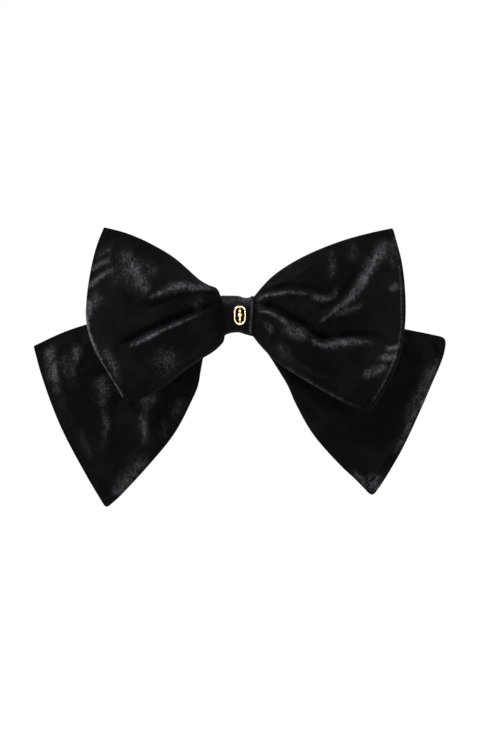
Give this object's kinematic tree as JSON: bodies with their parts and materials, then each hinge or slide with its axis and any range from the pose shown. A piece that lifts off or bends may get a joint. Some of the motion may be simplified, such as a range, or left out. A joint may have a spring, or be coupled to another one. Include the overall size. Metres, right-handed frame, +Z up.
{
  "type": "hair bow",
  "caption": "Puffed velvet bow with two loops, two pointed tails, a wrapped knot with a gilt ornament, and a spring barrette on its back.",
  "frame": {"origin": "middle of the space that holds the hair, between the tension bar and the clasp arm of the barrette, level with the centre of the knot", "axes": "+Y points out of the back of the bow to the head, +X runs along the barrette to its catch, which is the bow's right as seen from the front, and +Z is up as worn"},
  "size_m": [0.2075, 0.0459, 0.1405],
  "materials": {
    "velvet": "black cotton velvet with a short dense pile and a soft bluish-grey sheen",
    "knot_velvet": "black velvet, pile laid flat, slightly cooler than the loops",
    "wadding": "loose white polyester wadding",
    "thread": "black polyester sewing thread",
    "gilt": "bright pale gold plate",
    "nickel": "polished nickel plate",
    "spring_steel": "brushed spring steel"
  },
  "bodies": {
    "bow": {"loops_front_panel": "velvet", "loops_back_panel": "velvet", "loop_filling_left": "wadding", "loop_filling_right": "wadding", "tails_front_panel": "velvet", "tails_back_panel": "velvet", "tail_filling_left": "wadding", "tail_filling_right": "wadding", "waist_thread": "thread", "knot_wrap": "knot_velvet", "knot_seam_stitches": "thread", "ornament": "gilt", "ornament_washer": "gilt", "barrette_plate": "nickel", "plate_stitches": "thread", "hinge_rivet": "nickel", "catch_bracket": "spring_steel", "catch_rivet": "nickel"},
    "clasp_arm": {"clasp_arm": "nickel"},
    "tension_bar": {"tension_bar": "spring_steel"},
    "catch_tab_upper": {"catch_tab_upper": "spring_steel"},
    "catch_tab_lower": {"catch_tab_lower": "spring_steel"}
  },
  "joints": [
    {"name": "clasp_hinge", "type": "hinge", "parent": "bow", "child": "clasp_arm", "pos_m": [-0.037, 0.00331, 0], "axis": [0, 0, 1], "range_deg": [0, 75]},
    {"name": "bar_flex", "type": "hinge", "parent": "bow", "child": "tension_bar", "pos_m": [-0.037, 0.00331, 0], "axis": [0, 0, -1], "range_deg": [0, 2], "stiffness_Nm_per_rad": 1.5},
    {"name": "upper_tab_flex", "type": "hinge", "parent": "bow", "child": "catch_tab_upper", "pos_m": [0.0365, -0.00328, 0.00335], "axis": [-1, 0, 0], "range_deg": [0, 6], "stiffness_Nm_per_rad": 0.2},
    {"name": "lower_tab_flex", "type": "hinge", "parent": "bow", "child": "catch_tab_lower", "pos_m": [0.0365, -0.00328, -0.00335], "axis": [1, 0, 0], "range_deg": [0, 6], "stiffness_Nm_per_rad": 0.2}
  ]
}
